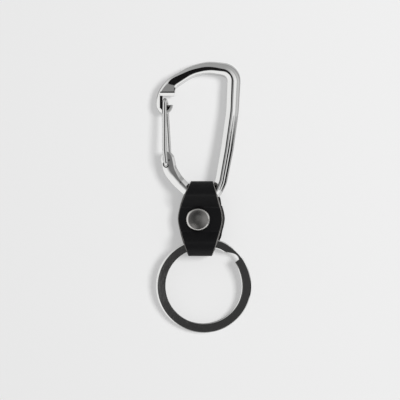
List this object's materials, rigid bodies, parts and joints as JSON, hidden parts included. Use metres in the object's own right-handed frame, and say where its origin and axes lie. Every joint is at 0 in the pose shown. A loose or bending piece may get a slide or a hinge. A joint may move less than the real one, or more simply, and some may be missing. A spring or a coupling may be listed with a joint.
{
  "type": "carabiner keychain",
  "caption": "Chromed snap-hook carabiner with a sprung wire gate, joined by a riveted leather strap to a flat split key ring.",
  "frame": {"origin": "underside of the back rivet cap, on the rivet's axis: the lowest face, on which the keychain lies", "axes": "+Y from the rivet to the hook end, +X to the right seen from the front, +Z out of the strap's front face"},
  "size_m": [0.0322, 0.0921, 0.009],
  "materials": {
    "chrome": "polished",
    "leather": "smooth, satin",
    "rivet_metal": "dark satin plating"
  },
  "bodies": {
    "frame": {"carabiner_frame": "chrome"},
    "gate": {"gate_wire": "chrome"},
    "strap": {"leather_strap": "leather", "rivet_front_cap": "rivet_metal", "rivet_stud": "rivet_metal", "rivet_socket": "rivet_metal", "rivet_back_cap": "rivet_metal"},
    "ring": {"split_ring": "chrome"}
  },
  "joints": [
    {"name": "gate_pivot", "type": "hinge", "parent": "frame", "child": "gate", "pos_m": [-0.01031, 0.01915, 0.00403], "axis": [0, -0.0495, -0.9988], "range_deg": [0, 30], "stiffness_Nm_per_rad": 0.03, "springref_deg": -17.19},
    {"name": "strap_swing", "type": "hinge", "parent": "frame", "child": "strap", "pos_m": [0, 0.00946, 0.00451], "axis": [1, 0, 0], "range_deg": [-45, 30]},
    {"name": "ring_swing", "type": "hinge", "parent": "strap", "child": "ring", "pos_m": [0, -0.00854, 0.00445], "axis": [1, 0, 0], "range_deg": [-85, 85]}
  ]
}
